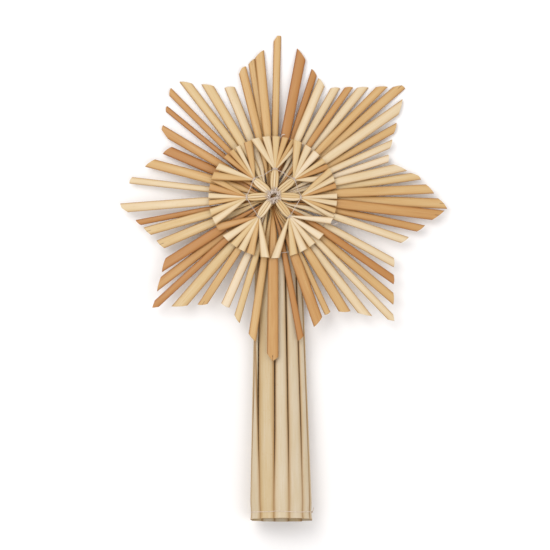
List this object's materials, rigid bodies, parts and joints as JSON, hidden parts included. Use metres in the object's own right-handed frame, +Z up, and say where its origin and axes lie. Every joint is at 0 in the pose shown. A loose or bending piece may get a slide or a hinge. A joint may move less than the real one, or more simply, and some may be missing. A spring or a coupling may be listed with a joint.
{
  "type": "straw star tree topper",
  "caption": "Straw star of flattened natural straws, tied with thread, on a tapered straw sleeve that slips over a tree's top shoot.",
  "frame": {"origin": "middle of the ornament's box, on the surface it lies on", "axes": "+Z up out of the star's face, +Y along the top ray, and the sleeve's mouth looks towards -Y"},
  "size_m": [0.169, 0.252, 0.0208],
  "materials": {
    "straw_pale": "pale natural straw, flattened and ironed, silky along the grain",
    "straw_golden": "golden natural straw, flattened, silky along the grain",
    "straw_amber": "amber natural straw, flattened, silky along the grain",
    "straw_brown": "brown natural straw, flattened, silky along the grain",
    "thread": "thin off-white twisted thread"
  },
  "bodies": {
    "root": {"back_straw_01": "straw_golden", "back_straw_02": "straw_golden", "back_straw_03": "straw_golden", "back_straw_04": "straw_golden", "back_straw_05": "straw_brown", "back_straw_06": "straw_brown", "back_straw_07": "straw_pale", "back_straw_08": "straw_pale", "back_straw_09": "straw_amber", "back_straw_10": "straw_pale", "back_straw_11": "straw_golden", "back_straw_12": "straw_amber", "back_straw_13": "straw_pale", "back_straw_14": "straw_golden", "back_straw_15": "straw_pale", "back_straw_16": "straw_pale", "back_straw_17": "straw_pale", "back_straw_18": "straw_golden", "back_straw_19": "straw_golden", "back_straw_20": "straw_golden", "back_straw_21": "straw_amber", "back_straw_22": "straw_amber", "back_straw_23": "straw_pale", "back_straw_24": "straw_pale", "back_straw_25": "straw_brown", "back_straw_26": "straw_golden", "back_straw_27": "straw_pale", "front_bundle_top": "straw_pale", "front_bundle_upper_right": "straw_pale", "front_bundle_right": "straw_pale", "front_bundle_lower_right": "straw_pale", "front_bundle_lower_left": "straw_pale", "front_bundle_left": "straw_pale", "front_bundle_upper_left": "straw_pale", "sleeve_straw_01": "straw_golden", "sleeve_straw_02": "straw_pale", "sleeve_straw_03": "straw_pale", "sleeve_straw_04": "straw_golden", "sleeve_straw_05": "straw_pale", "sleeve_straw_06": "straw_pale", "sleeve_straw_07": "straw_golden", "sleeve_straw_08": "straw_pale", "sleeve_straw_09": "straw_pale", "sleeve_straw_10": "straw_golden", "sleeve_straw_11": "straw_pale", "sleeve_straw_12": "straw_pale", "rim_thread": "thread", "spoke_thread": "thread", "centre_thread": "thread", "neck_thread": "thread", "hem_thread": "thread"}
  },
  "joints": []
}
